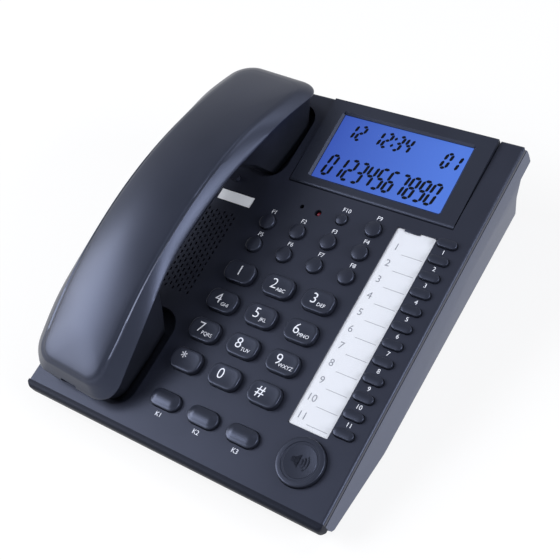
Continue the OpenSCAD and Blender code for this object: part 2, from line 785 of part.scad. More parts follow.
// Ring of the front shell: its insets, a further wall, corner radii, height and raise
function cup_ring(in, wall, r0, r1, height, raise) = ring(-hs_front + in[0] + wall, hs_rear - in[1] - wall,
    edge_wide, in[2] + wall, r0, r1, height, raise);

// Solid through a stack of rings, lowest first, closed across at both ends
module loft(rings) {
    m = len(rings[0]);
    top = (len(rings) - 1) * m;
    sides = [for (j = [0:len(rings) - 2], i = [0:m - 1]) let (a = j * m + i, b = j * m + (i + 1) % m)
        each [[a, a + m, b + m], [a, b + m, b]]];
    caps = [for (i = [0:m / 2 - 2]) let (r = i, l = m - 1 - i)
        each [[r, r + 1, l - 1], [r, l - 1, l],
            [top + r, top + l, top + l - 1], [top + r, top + l - 1, top + r + 1]]];
    polyhedron([for (one = rings) each one], concat(sides, caps), convexity = 6);
}

edge_fn = function(v) edge_h(v);
top_fn = function(v) top_h(v);
mid_fn = function(v) mid_h(v);
cup_fn = function(v) cup_h(v);
edge_wide = function(v) edge_w(v);
top_wide = function(v) top_w(v);
mid_wide = function(v) (edge_w(v) + top_w(v)) / 2 + 0.4;
crease_front = 4.5;
crease_rear = 5;
crease_drop = 0.6;
crease_round = 3;
rim_h = 0.8;
end_bulge = 1.5;

// Places children in the handset's own frame, turned a little in the cradle
module handset_frame() {
    face() translate([hs_u, 0, 0]) rotate([0, 0, -hs_skew]) children();
}

// Opening for the jack in the mouth end, from a level up to a height over the parting edge
module jack_opening(low, over) {
    translate([-hs_jack[0] / 2 - clear, -hs_front - 1, low])
        cube([hs_jack[0] + 2 * clear, hs_jack[1], edge_h(-hs_front) + over - low]);
}

// Handset back shell: rim, chamfer strip, crease and arched top face, hollow below
module handset_back_shell() {
    color("#343845") handset_frame() difference() {
        loft([
            ring(-hs_front, hs_rear, edge_wide, 0, 10, 9, edge_fn, 0),
            ring(-hs_front, hs_rear, edge_wide, 0, 10, 9, edge_fn, rim_h),
            ring(-hs_front + crease_front / 2, hs_rear - crease_rear / 2 + end_bulge, mid_wide, 0, 9, 9,
                mid_fn, rim_h),
            ring(-hs_front + crease_front, hs_rear - crease_rear, top_wide, 0, 8, 9, top_fn, -crease_drop),
            ring(-hs_front + crease_front + crease_round, hs_rear - crease_rear - 2 * crease_round, top_wide,
                crease_round, 6, 7, top_fn, 0)]);
        loft([
            ring(-hs_front + hs_wall, hs_rear - hs_wall, edge_wide, hs_wall, 8, 7, edge_fn, -1),
            ring(-hs_front + crease_front + hs_wall, hs_rear - crease_rear - hs_wall, top_wide, hs_wall, 6, 7,
                top_fn, -crease_drop - hs_wall)]);
        jack_opening(0, jack_notch);
    }
}

// Handset front shell: ear cup, grip and mouth cup with sound holes, a jack opening and the jack's seat
module handset_front_shell() {
    floor_in = hs_wall + 1.6;
    color("#23252e") handset_frame() {
        difference() {
            loft([
                cup_ring(cup_floor_in, 0, 8, 8, cup_fn, 0),
                cup_ring(cup_round_in, 0, 10, 9.5, cup_fn, cup_round),
                cup_ring(cup_rim_in, 0, 9.5, 8.5, edge_fn, -shell_gap)]);
            loft([
                cup_ring(cup_round_in, floor_in, 8, 8, cup_fn, hs_wall),
                cup_ring(cup_rim_in, hs_wall, 8, 7, edge_fn, 1)]);
            for (a = [0:60:300])
                translate([7 * cos(a), receiver_v + 7 * sin(a), -far]) cylinder(d = 2, h = far);
            translate([0, receiver_v, -far]) cylinder(d = 2, h = far);
            for (i = [-1:1]) translate([i * 3.2, hs_mic_v, -far]) cylinder(d = 1.6, h = far);
            jack_opening(hs_jack_n - clear, 1);
        }
        translate([-hs_jack[0] / 2 + 1, -hs_front + 9, mouth_rest + 1])
            cube([hs_jack[0] - 2, 7, hs_jack_n - mouth_rest - 1]);
    }
}

// Receiver on the floor of the ear cup
module receiver_capsule() {
    color("#4a4a4a") handset_frame() translate([0, receiver_v, ear_rest + hs_wall]) {
        cylinder(d = receiver_d, h = receiver_h / 2);
        translate([0, 0, receiver_h / 2]) cylinder(d = receiver_d - 8, h = receiver_h / 2);
    }
}

// Microphone on the floor of the mouth cup
module handset_microphone() {
    color("#4a4a4a") handset_frame() translate([0, hs_mic_v, mouth_rest + hs_wall])
        cylinder(d = mic_d, h = hs_mic_h);
}

// Cord jack in the mouth end of the handset
module handset_jack() {
    color("#15161a") handset_frame() translate([0, -hs_front + hs_jack_in, hs_jack_n]) difference() {
        translate([-hs_jack[0] / 2, 0, 0]) cube(hs_jack);
        translate([-hs_port[0] / 2, -1, (hs_jack[2] - hs_port[2]) / 2])
            cube([hs_port[0], hs_port[1] + 1, hs_port[2]]);
    }
}

top_cover();
bottom_cover();
main_board();
keypad_mat();
memo_card();
memo_card_cover();
name_label();
in_use_lamp();
loudspeaker();
hook_plunger();
hook_switch();
modular_jacks();
rubber_feet();
display_bezel();
display_back_cover();
display_window();
lcd_panel();
handset_back_shell();
handset_front_shell();
receiver_capsule();
handset_microphone();
handset_jack();
for (k = dial_keys) dial_key(k);
for (k = concat(round_keys, [upper_round_key]))
    crowned_key(k, round_d, round_d, round_d / 2, round_h);
crowned_key(small_round_key, small_d, small_d, small_d / 2, round_h - 0.6);
for (k = oval_keys) crowned_key(k, oval_w, oval_l, oval_l / 2, oval_h);
hands_free_key();
for (k = memo_keys) crowned_key(k, memo_w, memo_l, memo_l / 2, memo_h);
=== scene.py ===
"""Looks of a corded desk telephone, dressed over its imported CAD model."""
import json
import logging
import math
from dataclasses import dataclass
from enum import Enum
from typing import Any, Callable, Optional, Sequence

import bmesh
import bpy
from bmesh.types import BMEdge, BMesh, BMFace
from bpy.types import ID, Material, Node, NodeSocket, NodeTree, Object
from mathutils import Matrix, Vector
from mathutils.bvhtree import BVHTree


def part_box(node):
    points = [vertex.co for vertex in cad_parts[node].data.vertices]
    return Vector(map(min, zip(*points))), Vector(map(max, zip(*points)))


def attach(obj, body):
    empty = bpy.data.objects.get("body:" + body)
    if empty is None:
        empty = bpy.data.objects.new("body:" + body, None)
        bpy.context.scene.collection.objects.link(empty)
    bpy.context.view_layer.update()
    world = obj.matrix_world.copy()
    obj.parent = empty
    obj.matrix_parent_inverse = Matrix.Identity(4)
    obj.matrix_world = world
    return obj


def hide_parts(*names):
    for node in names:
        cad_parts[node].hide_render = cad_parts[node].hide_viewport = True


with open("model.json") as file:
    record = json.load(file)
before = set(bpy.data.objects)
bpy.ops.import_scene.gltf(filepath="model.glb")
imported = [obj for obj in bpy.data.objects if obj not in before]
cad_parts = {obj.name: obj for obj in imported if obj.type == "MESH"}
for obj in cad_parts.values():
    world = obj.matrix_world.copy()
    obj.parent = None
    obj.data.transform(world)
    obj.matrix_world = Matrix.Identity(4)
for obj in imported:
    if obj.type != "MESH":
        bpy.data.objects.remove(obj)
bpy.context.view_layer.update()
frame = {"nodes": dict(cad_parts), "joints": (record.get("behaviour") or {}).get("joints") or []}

MM = 0.001
WHITE = (1.0, 1.0, 1.0, 1.0)
log = logging.getLogger("telephone")

Pair = tuple[float, float]
Point = tuple[float, float, float]
Curve = Callable[[float], float]


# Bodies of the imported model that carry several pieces
BASE = "base"
HANDSET = "handset"
DISPLAY = "display_unit"


def linear(hex_colour: str) -> tuple[float, float, float, float]:
    """Turns an sRGB hex colour to linear light.

    Args:
        hex_colour: Colour written as "#rrggbb".

    Returns:
        Red, green, blue and a full alpha.
    """
    parts = [int(hex_colour[i:i + 2], 16) / 255 for i in (1, 3, 5)]
    red, green, blue = (c / 12.92 if c <= 0.04045 else ((c + 0.055) / 1.055) ** 2.4 for c in parts)
    return red, green, blue, 1.0


def add_node(tree: NodeTree, kind: str, settings: Optional[dict[str, Any]] = None,
             links: Optional[dict[str | int, Node | NodeSocket]] = None) -> Node:
    """Adds one shader node with its settings and its incoming links.

    Args:
        tree: Node tree that takes the node.
        kind: Blender's name of the node type, without its prefix.
        settings: Values by attribute name, or by input name where the node has no such attribute.
        links: Sockets, or nodes for their first output, by the name or the number of the input they feed.

    Returns:
        The new node.
    """
    node = tree.nodes.new("ShaderNode" + kind)
    for name, value in (settings or {}).items():
        if hasattr(node, name):
            setattr(node, name, value)
        else:
            node.inputs[name].default_value = value
    for name, source in (links or {}).items():
        socket = source.outputs[0] if isinstance(source, Node) else source
        tree.links.new(socket, node.inputs[name])
    return node


def mottle(tree: NodeTree, size_mm: float, detail: float) -> Node:
    """Adds a soft noise over Object coordinates.

    Args:
        tree: Node tree that takes the nodes.
        size_mm: Real width of one patch.
        detail: Levels of finer noise in it.

    Returns:
        The noise.
    """
    place = add_node(tree, "TexCoord").outputs["Object"]
    return add_node(tree, "TexNoise", {"Scale": 1.0 / (size_mm * MM), "Detail": detail},
                    {"Vector": place})


def seen(tree: NodeTree, share: float) -> Node:
    """Tells what the camera, a gloss or a clear sheet sees from what only lights the object.

    Args:
        tree: Node tree that takes the nodes.
        share: Factor for what is seen.

    Returns:
        Node that gives that factor, or 0 for other rays.
    """
    path = add_node(tree, "LightPath").outputs
    direct = add_node(tree, "Math", {"operation": "ADD"}, {
        0: path["Is Camera Ray"], 1: path["Is Glossy Ray"]})
    total = add_node(tree, "Math", {"operation": "ADD", "use_clamp": True}, {
        0: direct, 1: path["Is Transmission Ray"]})
    return add_node(tree, "MapRange", {"To Max": share}, {"Value": total})


@dataclass(frozen=True)
class Surface:
    """What every finish has: a name and a shader.

    Attributes:
        name: Common name of the material and how its surface was made.
    """

    name: str

    def shader(self, tree: NodeTree) -> Node:
        """Adds the finish's nodes to a tree and gives the last one."""
        raise NotImplementedError

    def build(self) -> Material:
        """Makes the material."""
        material = bpy.data.materials.new(self.name)
        material.use_nodes = True
        tree = material.node_tree
        tree.nodes.clear()
        add_node(tree, "OutputMaterial", {}, {"Surface": self.shader(tree)})
        return material


@dataclass(frozen=True)
class Sheet(Surface):
    """Plastic, paper or metal whose colour and roughness vary in soft patches.

    Attributes:
        colour: Main colour.
        other: Colour of the patches, or none.
        roughness: Mean roughness.
        span: How far the roughness varies to either side.
        patch_mm: Width of the patches, wider than real where they would not show.
        detail: Levels of finer noise in them.
        ior: Refractive index, raised on the case so that its walls carry the white surroundings, and lowered
            on the front edge for painted shade.
        alpha: How much of it hides what lies below.
        metallic: 1 for metal, 0 for the rest.
        stops: Values of the noise between which the colour turns.
    """

    colour: str
    other: str = ""
    roughness: float = 0.5
    span: float = 0.05
    patch_mm: float = 38.0
    detail: float = 3.0
    ior: float = 1.5
    alpha: float = 1.0
    metallic: float = 0.0
    stops: Pair = (0.0, 1.0)

    def shader(self, tree: NodeTree) -> Node:
        """Adds the patches and the surface that they colour and roughen."""
        patches = mottle(tree, self.patch_mm, self.detail)
        links = {"Roughness": add_node(tree, "MapRange", {
            "To Min": self.roughness - self.span, "To Max": self.roughness + self.span}, {"Value": patches})}
        if self.other:
            tint = add_node(tree, "ValToRGB", {}, {"Fac": patches})
            for stop, hue, at in zip(tint.color_ramp.elements, (self.colour, self.other), self.stops):
                stop.color = linear(hue)
                stop.position = at
            links["Base Color"] = tint
        settings = {"IOR": self.ior, "Alpha": self.alpha, "Metallic": self.metallic}
        return add_node(tree, "BsdfPrincipled", {"Base Color": linear(self.colour), **settings}, links)


@dataclass(frozen=True)
class MouldedPlastic(Sheet):
    """Injection-moulded plastic: a spark-eroded grain breaks up its satin reflections.

    Attributes:
        grain: Width and depth in mm of one grain of the mould's texture, wider than real so that it shows.
        relief: Strength of the grain.
        sheen: Tint of its reflections.
    """

    ior: float = 1.53
    stops: Pair = (0.35, 0.7)
    grain: Pair = (0.5, 0.012)
    relief: float = 0.6
    sheen: str = "#c9d6ff"

    def shader(self, tree: NodeTree) -> Node:
        """Adds the plastic with its grain."""
        plastic = super().shader(tree)
        plastic.inputs["Specular Tint"].default_value = linear(self.sheen)
        width, depth = self.grain
        bump = add_node(tree, "Bump", {"Strength": self.relief, "Distance": depth * MM},
                        {"Height": mottle(tree, width, 1.0)})
        tree.links.new(bump.outputs["Normal"], plastic.inputs["Normal"])
        return plastic


@dataclass(frozen=True)
class ClearSheet(Sheet):
    """Clear moulded sheet: only its gloss and a faint tint show."""

    patch_mm: float = 14.0
    detail: float = 2.0


@dataclass(frozen=True)
class Paper(Sheet):
    """Uncoated card: matte, with the faint mottle of its fibres."""

    roughness: float = 0.8
    span: float = 0.0
    patch_mm: float = 0.9
    detail: float = 4.0


@dataclass(frozen=True)
class LitPanel(Surface):
    """Liquid-crystal panel with its back light on: an even blue glow, a little brighter to one side.

    Attributes:
        dim: Colour at its darker side.
        bright: Colour at its brighter side.
        strength: Strength of the glow.
        span_mm: Width over which the glow changes.
        middle_mm: Where along x the glow is half way.
    """

    dim: str
    bright: str
    strength: float
    span_mm: float
    middle_mm: float

    def shader(self, tree: NodeTree) -> Node:
        """Adds the glow along x and the panel."""
        place = add_node(tree, "TexCoord").outputs["Object"]
        along = add_node(tree, "SeparateXYZ", {}, {"Vector": place}).outputs["X"]
        half = self.span_mm / 2
        share = add_node(tree, "MapRange", {
            "From Min": (self.middle_mm - half) * MM, "From Max": (self.middle_mm + half) * MM},
            {"Value": along})
        tint = add_node(tree, "ValToRGB", {}, {"Fac": share})
        for stop, hue in zip(tint.color_ramp.elements, (self.dim, self.bright)):
            stop.color = linear(hue)
        return add_node(tree, "BsdfPrincipled", {
            "Base Color": linear("#101830"), "Specular IOR Level": 0.0, "Emission Strength": self.strength},
            {"Emission Color": tint})


@dataclass(frozen=True)
class Backdrop(Paper):
    """White paper under the telephone: nearly white to the eye, and it keeps a light shadow of the object.

    Attributes:
        white: Share of plain white in what is seen of it.
        specular: Strength of its reflections.
    """

    roughness: float = 0.9
    span: float = 0.05
    patch_mm: float = 30.0
    detail: float = 2.0
    white: float = 0.82
    specular: float = 0.1

    def shader(self, tree: NodeTree) -> Node:
        """Adds the paper and mixes white to it."""
        paper = super().shader(tree)
        paper.inputs["Specular IOR Level"].default_value = self.specular
        white = add_node(tree, "Emission", {"Color": WHITE, "Strength": 1.0})
        return add_node(tree, "MixShader", {}, {"Fac": seen(tree, self.white), 1: paper, 2: white})


class Finish(Enum):
    """Every finish on the telephone."""

    FACE = MouldedPlastic("ABS, satin, face", "#1a1c25", "#1f212b", 0.40)
    # The front edge is the face's own plastic. Its darker colour and weak reflection (low IOR) are painted
    # shade on a band that faces forward, away from the lamps.
    SHADED_EDGE = MouldedPlastic("ABS, matte, front edge, painted shade", "#12141b", "#161820", 0.5, ior=1.25)
    CASE = MouldedPlastic("ABS, satin, case", "#1d2029", "#22252f", 0.42, ior=2.3)
    BEZEL = MouldedPlastic("ABS, satin, bezel", "#191b24", "#1d2029", 0.40)
    HANDSET = MouldedPlastic("ABS, satin, handset", "#1e212b", "#232631", 0.36, grain=(0.45, 0.006))
    HANDSET_INNER = MouldedPlastic("ABS, satin, handset front", "#15171e", "#191b23", 0.42)
    KEY = MouldedPlastic("ABS, satin, keys", "#191b24", "#1d2029", 0.36, grain=(0.4, 0.006))
    JACK = MouldedPlastic("Nylon, moulded", "#101115", "#15161b", 0.5)
    RUBBER = MouldedPlastic("Rubber, moulded", "#0c0c0e", "#141416", 0.75, grain=(0.8, 0.03))
    SILICONE = MouldedPlastic("Silicone, moulded", "#3c3d42", "#46474c", 0.6)
    LAMINATE = MouldedPlastic("Glass-fibre laminate", "#123a24", "#18452c", 0.45)
    LENS = MouldedPlastic("Polystyrene, clear red", "#7a1018", "#8e141c", 0.15, ior=1.59, grain=(0.8, 0.002))
    INK = MouldedPlastic("Pad-printed ink, white", "#e6e9f2", "#dfe3ee", 0.55, grain=(0.3, 0.004))
    GREY_INK = MouldedPlastic("Printed ink, grey", "#6c6f78", "#797c85", 0.7, grain=(0.3, 0.002))
    SEGMENT = MouldedPlastic("Liquid crystal, dark", "#04050c", "#06070f", 0.7, ior=1.1, grain=(0.5, 0.001))
    WINDOW = ClearSheet("Acrylic, clear, anti-glare", "#cfd9f2", "", 0.08, 0.032, ior=1.2, alpha=0.006)
    COVER = ClearSheet("PVC sheet, clear", "#f2f5ff", "", 0.16, 0.064, ior=1.49, alpha=0.08)
    PANEL = LitPanel("Liquid-crystal panel, blue light", "#3a56b4", "#5681e6", 0.95, 92.0, 32.0)
    CARD = Paper("Paper, white card", "#d6d9e0", "#dfe2e8")
    LABEL = Paper("Paper, white label", "#ebeff7", "#f4f6fb")
    STEEL = Sheet("Steel, zinc plated", "#a9abb0", "", 0.3, 0.09, patch_mm=0.4, detail=2.0, metallic=1.0)
    SPEAKER = MouldedPlastic("Steel, painted", "#26272b", "#2d2e33", 0.5)


MATERIALS: dict[Finish, Material] = {}


def material_of(finish: Finish) -> Material:
    """Gives the material of a finish, made on first use."""
    if finish not in MATERIALS:
        MATERIALS[finish] = finish.value.build()
    return MATERIALS[finish]


@dataclass
class Plane:
    """A drawing plane: u to the right, v up the slope, n square to it, in mm.

    Attributes:
        normal: Direction square to the plane.
        level: Height of the plane along that direction.
    """

    normal: Vector
    level: float = 0.0

    def axes(self) -> tuple[Vector, Vector, Vector]:
        """Gives the directions of u, v and n."""
        right = Vector((1.0, 0.0, 0.0))
        return right, self.normal.cross(right), self.normal

    def box(self, node: str) -> tuple[Vector, Vector]:
        """Gives a CAD node's box along the plane's axes.

        Args:
            node: Name of the CAD node.

        Returns:
            Lowest and highest corner as u, v and n in mm.
        """
        shift = Vector((0.0, 0.0, self.level))
        axes = self.axes()
        vertices = frame["nodes"][node].data.vertices
        points = [Vector([v.co.dot(axis) for axis in axes]) / MM - shift for v in vertices]
        low, high = ([pick(p[i] for p in points) for i in range(3)] for pick in (min, max))
        return Vector(low), Vector(high)

    def middle(self, node: str) -> Vector:
        """Gives the middle of a CAD node's box on the plane, as u and v."""
        low, high = self.box(node)
        return ((low + high) / 2).to_2d()

    def matrix(self) -> Matrix:
        """Gives the transform from the plane's axes in mm to the frame in metres."""
        turn = Matrix(self.axes()).transposed().to_4x4()
        return turn @ Matrix.Translation((0.0, 0.0, self.level * MM)) @ Matrix.Scale(MM, 4)


def face_plane(label_drop: float = 0.2) -> Plane:
    """Gives the sloping face's plane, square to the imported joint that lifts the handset.

    Args:
        label_drop: How far the name label lies under the face, in mm.

    Returns:
        The plane at the face's level.
    """
    lift = next(j for j in frame["joints"] if j["name"] == "handset_lift")
    normal = Vector(lift["axis"]).normalized()
    return Plane(normal, Plane(normal).box("name_label")[1].z + label_drop)


FACE = face_plane()


def put(name: str, data: ID) -> Object:
    """Adds an object with some data to the scene."""
    thing = bpy.data.objects.new(name, data)
    bpy.context.scene.collection.objects.link(thing)
    return thing


def add_piece(bm: BMesh, name: str, finish: Finish, body: str,
              stands_for: Sequence[str] = (), place: Optional[Matrix] = None,
              crease: float = 32.0) -> None:
    """Turns a bmesh into a finished piece of the telephone.

    Args:
        bm: The mesh, which is used up.
        name: Name of the piece.
        finish: Its finish.
        body: Body that carries it.
        stands_for: CAD nodes that it replaces.
        place: Transform to the frame, from the face's axes where none is given.
        crease: Edges sharper than this angle, in degrees, stay hard.
    """
    bmesh.ops.transform(bm, matrix=place or FACE.matrix(), verts=bm.verts)
    limit = math.radians(crease)
    for one in bm.faces:
        one.smooth = True
    for edge in bm.edges:
        edge.smooth = len(edge.link_faces) == 2 and edge.calc_face_angle(0.0) < limit
    mesh = bpy.data.meshes.new(name)
    bm.to_mesh(mesh)
    bm.free()
    mesh.materials.append(material_of(finish))
    piece = put(name, mesh)
    if stands_for:
        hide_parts(*stands_for)
    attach(piece, body)
    log.info("%s: %d faces on %s", name, len(mesh.polygons), body)


def dress(finish: Finish, *nodes: str) -> None:
    """Gives CAD nodes, whose own shapes stay, their material.

    Args:
        finish: Their finish.
        nodes: Names of the CAD nodes.
    """
    for node in nodes:
        mesh = frame["nodes"][node].data
        mesh.materials.clear()
        mesh.materials.append(material_of(finish))
        log.info("%s: CAD shape, %s", node, finish.value.name)


def smooth_copy(node: str, finish: Finish, body: str, crease: float = 28.0) -> None:
    """Stands a merged copy of a CAD node, with smooth shading over its curves, in place of the node.

    Args:
        node: Name of the CAD node.
        finish: Its finish.
        body: Body that carries it.
        crease: Edges sharper than this angle, in degrees, stay hard.
    """
    bm = bmesh.new()
    bm.from_mesh(frame["nodes"][node].data)
    bmesh.ops.remove_doubles(bm, verts=bm.verts, dist=0.002 * MM)
    add_piece(bm, node + "_smooth", finish, body, (node,), Matrix.Identity(4), crease)


@dataclass(frozen=True)
class Label:
    """Short lettering at a place on the face.

    Attributes:
        text: The characters.
        at: Middle of the lettering as u, v, n in mm.
        height: Height of a capital in mm.
        trim: Taken off each side of a stroke, in mm.
    """

    text: str
    at: Point
    height: float
    trim: float = 0.0


CAPITAL_SHARE = 0.69


def lettering(labels: Sequence[Label], thickness: float) -> BMesh:
    """Makes flat raised letters, each turned to a mesh before it is placed.

    Args:
        labels: The lettering and its places.
        thickness: Height of the ink in mm, drawn thicker than real so that it shows.

    Returns:
        One mesh of all letters in the face's axes.
    """
    made = []
    for label in labels:
        curve = bpy.data.curves.new("lettering", "FONT")
        curve.body = label.text
        curve.size = label.height / CAPITAL_SHARE
        curve.align_x = "CENTER"
        curve.align_y = "CENTER"
        curve.resolution_u = 3
        curve.extrude = thickness / 2
        curve.offset = -label.trim
        made.append(put("lettering", curve))
    bpy.context.view_layer.update()
    graph = bpy.context.evaluated_depsgraph_get()
    bm = bmesh.new()
    for label, text in zip(labels, made):
        mesh = bpy.data.meshes.new_from_object(text.evaluated_get(graph))
        u, v, n = label.at
        mesh.transform(Matrix.Translation((u, v, n + thickness / 2)))
        bm.from_mesh(mesh)
        bpy.data.meshes.remove(mesh)
    for text in made:
        curve = text.data
        bpy.data.objects.remove(text)
        bpy.data.curves.remove(curve)
    bmesh.ops.remove_doubles(bm, verts=bm.verts, dist=0.001)
    return bm


def drape(bm: BMesh, surface: BVHTree, above: float = 50.0) -> None:
    """Lets a flat print down on a curved surface below it.

    Args:
        bm: The print, drawn at level 0.
        surface: The surface, in the same axes.
        above: Height over all of the surface.
    """
    for vert in bm.verts:
        hit = surface.ray_cast(Vector((vert.co.x, vert.co.y, above)), Vector((0.0, 0.0, -1.0)))[0]
        if hit is not None:
            vert.co.z += hit.z


def round_edges(bm: BMesh, edges: Sequence[BMEdge], radius: float, segments: int) -> None:
    """Rounds some edges of a mesh by a radius, in a number of segments."""
    bmesh.ops.bevel(bm, geom=edges, offset=radius, affect="EDGES", segments=segments, profile=0.5,
                    material=-1)


def add_box(bm: BMesh, low: Point, high: Point, edge: float = 0.0) -> None:
    """Adds a box between two corners, with rounded edges where an edge radius is given.

    Args:
        bm: Mesh that takes the box.
        low: Lowest corner.
        high: Highest corner.
        edge: Radius along its edges.
    """
    size = [b - a for a, b in zip(low, high)]
    middle = [(a + b) / 2 for a, b in zip(low, high)]
    before = set(bm.verts)
    bmesh.ops.create_cube(bm, size=1.0, matrix=Matrix.Translation(middle) @ Matrix.Diagonal((*size, 1.0)))
    if edge > 0:
        round_edges(bm, [e for e in bm.edges if e.verts[0] not in before], edge, 2)


def standing_edges(bm: BMesh) -> list[BMEdge]:
    """Gives the edges of a block that stand square to the face."""
    return [e for e in bm.edges if abs(e.verts[0].co.z - e.verts[1].co.z) > 0.01]


def ease(value: float, start: float, end: float) -> float:
    """Rises smoothly from 0 at the start to 1 at the end."""
    t = min(1.0, max(0.0, (value - start) / (end - start)))
    return t * t * (3 - 2 * t)


def loft(bm: BMesh, rings: Sequence[Sequence[Point]]) -> list[list[BMEdge]]:
    """Bridges closed rings of points, each to the next.

    Args:
        bm: Mesh that takes the skin.
        rings: The rings' points.

    Returns:
        Edges of each ring.
    """
    loops = []
    for points in rings:
        verts = [bm.verts.new(p) for p in points]
        loops.append([bm.edges.new((a, b)) for a, b in zip(verts, verts[1:] + verts[:1])])
    for one, other in zip(loops, loops[1:]):
        bmesh.ops.bridge_loops(bm, edges=one + other)
    return loops


@dataclass
class KeyCap:
    """One key: a cap through the face with a rounded rim, a crowned or dished top and a flange below.

    Attributes:
        node: CAD node that the cap replaces; its box gives the key's size and place.
        corner: Corner radius in plan.
        rim: Radius along the top's rim.
        crown: How far the middle of the top stands over its rim; negative for a dish.
        flange: Thickness and reach of the flange below the face.
        steps: Rings across the top.
        draw_in: Share of the way to the middle that the last ring goes.
    """

    node: str
    corner: float
    rim: float
    crown: float
    flange: float = 1.1
    steps: int = 5
    draw_in: float = 0.96

    def mesh(self) -> BMesh:
        """Models the key from a block: round its corners, draw in the cap, round its rim, shape the top."""
        low, high = FACE.box(self.node)
        top = high.z - max(self.crown, 0.0)
        flange_top = low.z + self.flange
        bm = bmesh.new()
        add_box(bm, tuple(low), (high.x, high.y, flange_top))
        reach = min(self.corner + self.flange, min(high.x - low.x, high.y - low.y) / 2 - 0.002)
        round_edges(bm, standing_edges(bm), reach, 10)
        bmesh.ops.remove_doubles(bm, verts=bm.verts, dist=0.02)
        cap = self.top_face(bm)
        bmesh.ops.inset_region(bm, faces=[cap], thickness=self.flange, use_even_offset=True)
        raised = bmesh.ops.extrude_discrete_faces(bm, faces=[cap])["faces"][0]
        for vert in raised.verts:
            vert.co.z = top
        round_edges(bm, list(raised.edges), self.rim, 4)
        self.shape_top(bm, top, (low + high) / 2, (high.x - low.x - high.y + low.y) / 2)
        bmesh.ops.recalc_face_normals(bm, faces=bm.faces)
        return bm

    def top_face(self, bm: BMesh) -> BMFace:
        """Gives the highest level face."""
        return max(bm.faces, key=lambda f: (round(f.calc_center_median().z, 3), f.calc_area()))

    def shape_top(self, bm: BMesh, top: float, centre: Vector, spine: float) -> None:
        """Raises or sinks the top in rings that draw in to the key's middle line.

        Args:
            bm: The key's mesh.
            top: Height of the rim.
            centre: Middle of the key.
            spine: Half the length of the middle line.
        """
        face = self.top_face(bm)
        left = 1.0
        for i in range(1, self.steps + 1):
            bmesh.ops.inset_region(bm, faces=[face], thickness=0.001)
            share = self.draw_in * i / self.steps
            for vert in face.verts:
                along = min(max(vert.co.x - centre.x, -spine), spine)
                middle = Vector((centre.x + along, centre.y, 0.0))
                drawn = middle + (vert.co - middle) * (1 - share) / left
                vert.co = (drawn.x, drawn.y, top + self.crown * (1 - (1 - share) ** 2))
            left = 1 - share

    def build(self) -> BVHTree:
        """Makes the key and gives its surface, on which a print can be laid."""
        bm = self.mesh()
        surface = BVHTree.FromBMesh(bm)
        add_piece(bm, self.node + "_cap", Finish.KEY, self.node, (self.node,))
        return surface


@dataclass
class HandsFreeKey(KeyCap):
    """The large round key: a shallow dish inside a moulded ring, turned from one profile."""

    ring_width: float = 1.5
    ring_in: float = 2.5
    groove: float = 0.35
    groove_side: float = 0.2
    dish_drop: float = 0.1

    def mesh(self) -> BMesh:
        """Turns the key's profile about its middle."""
        low, high = FACE.box(self.node)
        centre = (low + high) / 2
        outer = (high.x - low.x) / 2
        r = outer - self.flange
        top = high.z
        dish = r - self.ring_in - self.ring_width
        profile = [(0.0, low.z), (outer, low.z), (outer, low.z + self.flange), (r, low.z + self.flange),
                   (r, top - self.rim)]
        profile += [(r - self.rim + self.rim * math.cos(a), top - self.rim + self.rim * math.sin(a))
                    for a in (math.pi * k / 8 for k in range(1, 5))]
        profile += [(r - self.ring_in, top), (r - self.ring_in - self.groove_side, top - self.groove),
                    (dish + self.groove_side, top - self.groove), (dish, top - self.dish_drop)]
        profile += [(dish * (1 - s), top - self.dish_drop + self.crown * (1 - (1 - s) ** 2))
                    for s in (0.25, 0.5, 0.75, 1.0)]
        bm = bmesh.new()
        verts = [bm.verts.new((centre.x + x, centre.y, z)) for x, z in profile]
        edges = [bm.edges.new(pair) for pair in zip(verts, verts[1:])]
        bmesh.ops.spin(bm, geom=verts + edges, cent=centre, axis=(0, 0, 1), angle=math.tau, steps=72,
                       use_merge=True)
        bmesh.ops.remove_doubles(bm, verts=bm.verts, dist=0.01)
        bmesh.ops.recalc_face_normals(bm, faces=bm.faces)
        return bm


